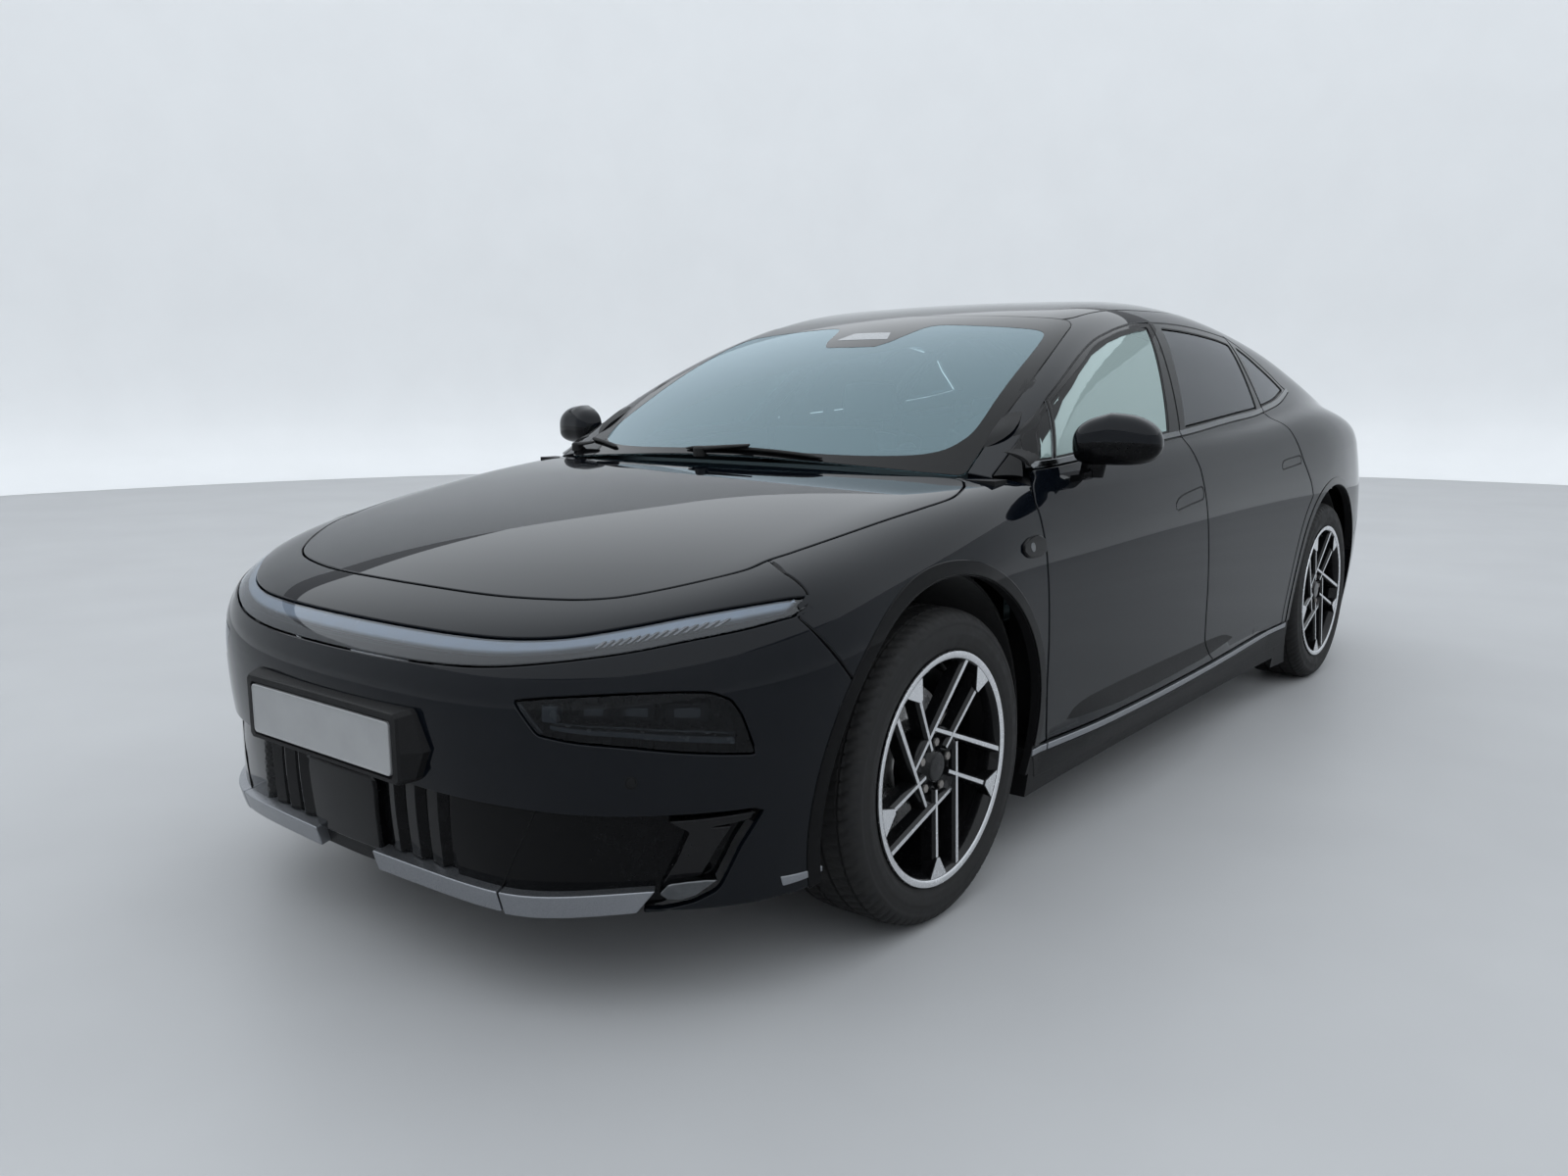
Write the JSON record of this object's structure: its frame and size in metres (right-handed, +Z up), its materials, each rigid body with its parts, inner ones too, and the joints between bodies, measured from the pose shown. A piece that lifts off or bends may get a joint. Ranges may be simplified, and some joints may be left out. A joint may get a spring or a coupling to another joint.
{
  "type": "fastback saloon car",
  "caption": "Full-size black five-door fastback saloon with opening doors, bonnet and tailgate, steering front wheels and a hollow cabin.",
  "frame": {"origin": "on the ground under the middle of the car", "axes": "+Z up, -Y to the front of the car, +X to its left side"},
  "size_m": [2.2534, 5.0857, 1.5118],
  "materials": {
    "paint": "deep gloss black",
    "gloss_black": "high gloss",
    "screen_glass": "clear, slightly green",
    "door_glass": "clear, slightly green",
    "dark_glass": "privacy tint",
    "lamp_clear": "frosted light guide",
    "lamp_smoke": "smoked",
    "lamp_red": "red lens",
    "trim_black": "fine grain",
    "silver_trim": "satin",
    "plate": "bare",
    "underbody": "matt coating",
    "alloy_case": "cast, dull",
    "chassis_steel": "satin black",
    "liner_plastic": "felted",
    "dash_plastic": "soft grain",
    "wheel_leather": "smooth",
    "seat_leather": "fine grain",
    "tyre": "new rubber",
    "rim_alloy": "machined over black",
    "knuckle_iron": "bare"
  },
  "bodies": {
    "root": {"battery_pack": "alloy_case", "body_side_left": "paint", "body_side_right": "paint", "cowl_panel": "trim_black", "dashboard": "dash_plastic", "floor_pan": "underbody", "front_bumper": "paint", "front_fenders": "paint", "front_seats": "seat_leather", "front_splitter": "silver_trim", "front_subframe": "chassis_steel", "front_trunk": "liner_plastic", "headlamps": "lamp_smoke", "light_bar": "lamp_clear", "lower_grille": "trim_black", "nose_panel": "paint", "number_plates": "plate", "quarter_glass": "dark_glass", "rear_bench": "seat_leather", "rear_bumper": "paint", "rear_corner_lamps": "lamp_red", "rear_corner_panels": "paint", "rear_drive_unit": "alloy_case", "rear_subframe": "chassis_steel", "roof_panel": "gloss_black", "wheel_arch_liners": "liner_plastic", "windscreen": "screen_glass"},
    "front_door_left": {"front_door_left": "paint", "front_door_glass_left": "door_glass", "mirror_left": "gloss_black"},
    "front_door_right": {"front_door_right": "paint", "front_door_glass_right": "door_glass", "mirror_right": "gloss_black"},
    "rear_door_left": {"rear_door_left": "paint", "rear_door_glass_left": "dark_glass"},
    "rear_door_right": {"rear_door_right": "paint", "rear_door_glass_right": "dark_glass"},
    "bonnet": {"bonnet": "paint"},
    "tailgate": {"tailgate": "paint", "rear_window": "dark_glass", "tail_lamp_bar": "lamp_red"},
    "steering_wheel": {"steering_wheel": "wheel_leather"},
    "front_knuckle_left": {"front_knuckle_left": "knuckle_iron"},
    "front_knuckle_right": {"front_knuckle_right": "knuckle_iron"},
    "wheel_front_left": {"tyre_front_left": "tyre", "rim_front_left": "rim_alloy"},
    "wheel_front_right": {"tyre_front_right": "tyre", "rim_front_right": "rim_alloy"},
    "wheel_rear_left": {"tyre_rear_left": "tyre", "rim_rear_left": "rim_alloy"},
    "wheel_rear_right": {"tyre_rear_right": "tyre", "rim_rear_right": "rim_alloy"}
  },
  "joints": [
    {"name": "bonnet_hinge", "type": "hinge", "parent": "root", "child": "bonnet", "pos_m": [0, -1.185, 1], "axis": [-1, 0, 0], "range_deg": [0, 58]},
    {"name": "tailgate_hinge", "type": "hinge", "parent": "root", "child": "tailgate", "pos_m": [0, 0.97, 1.455], "axis": [1, 0, 0], "range_deg": [0, 55]},
    {"name": "front_door_left_hinge", "type": "hinge", "parent": "root", "child": "front_door_left", "pos_m": [0.935, -1.035, 0.6], "axis": [0, 0, -1], "range_deg": [0, 65]},
    {"name": "rear_door_left_hinge", "type": "hinge", "parent": "root", "child": "rear_door_left", "pos_m": [0.935, 0.085, 0.6], "axis": [0, 0, -1], "range_deg": [0, 65]},
    {"name": "front_door_right_hinge", "type": "hinge", "parent": "root", "child": "front_door_right", "pos_m": [-0.935, -1.035, 0.6], "axis": [0, 0, 1], "range_deg": [0, 65]},
    {"name": "rear_door_right_hinge", "type": "hinge", "parent": "root", "child": "rear_door_right", "pos_m": [-0.935, 0.085, 0.6], "axis": [0, 0, 1], "range_deg": [0, 65]},
    {"name": "steer_left", "type": "hinge", "parent": "root", "child": "front_knuckle_left", "pos_m": [0.76, -1.564, 0.364], "axis": [0, 0, 1], "range_deg": [-35, 35]},
    {"name": "steer_right", "type": "hinge", "parent": "root", "child": "front_knuckle_right", "pos_m": [-0.76, -1.564, 0.364], "axis": [0, 0, 1], "range_deg": [-35, 35]},
    {"name": "steering_wheel_turn", "type": "hinge", "parent": "root", "child": "steering_wheel", "pos_m": [0.37, -0.56, 0.845], "axis": [0, 0.9061, 0.423], "range_deg": [-450, 450]},
    {"name": "wheel_front_left_spin", "type": "hinge", "parent": "front_knuckle_left", "child": "wheel_front_left", "pos_m": [0.8225, -1.564, 0.364], "axis": [1, 0, 0], "continuous": true},
    {"name": "wheel_front_right_spin", "type": "hinge", "parent": "front_knuckle_right", "child": "wheel_front_right", "pos_m": [-0.8225, -1.564, 0.364], "axis": [1, 0, 0], "continuous": true},
    {"name": "wheel_rear_left_spin", "type": "hinge", "parent": "root", "child": "wheel_rear_left", "pos_m": [0.8225, 1.436, 0.364], "axis": [1, 0, 0], "continuous": true},
    {"name": "wheel_rear_right_spin", "type": "hinge", "parent": "root", "child": "wheel_rear_right", "pos_m": [-0.8225, 1.436, 0.364], "axis": [1, 0, 0], "continuous": true}
  ],
  "couplings": [
    {"joint": "steer_right", "follows": "steer_left", "ratio": 1},
    {"joint": "steering_wheel_turn", "follows": "steer_left", "ratio": 12.857}
  ]
}
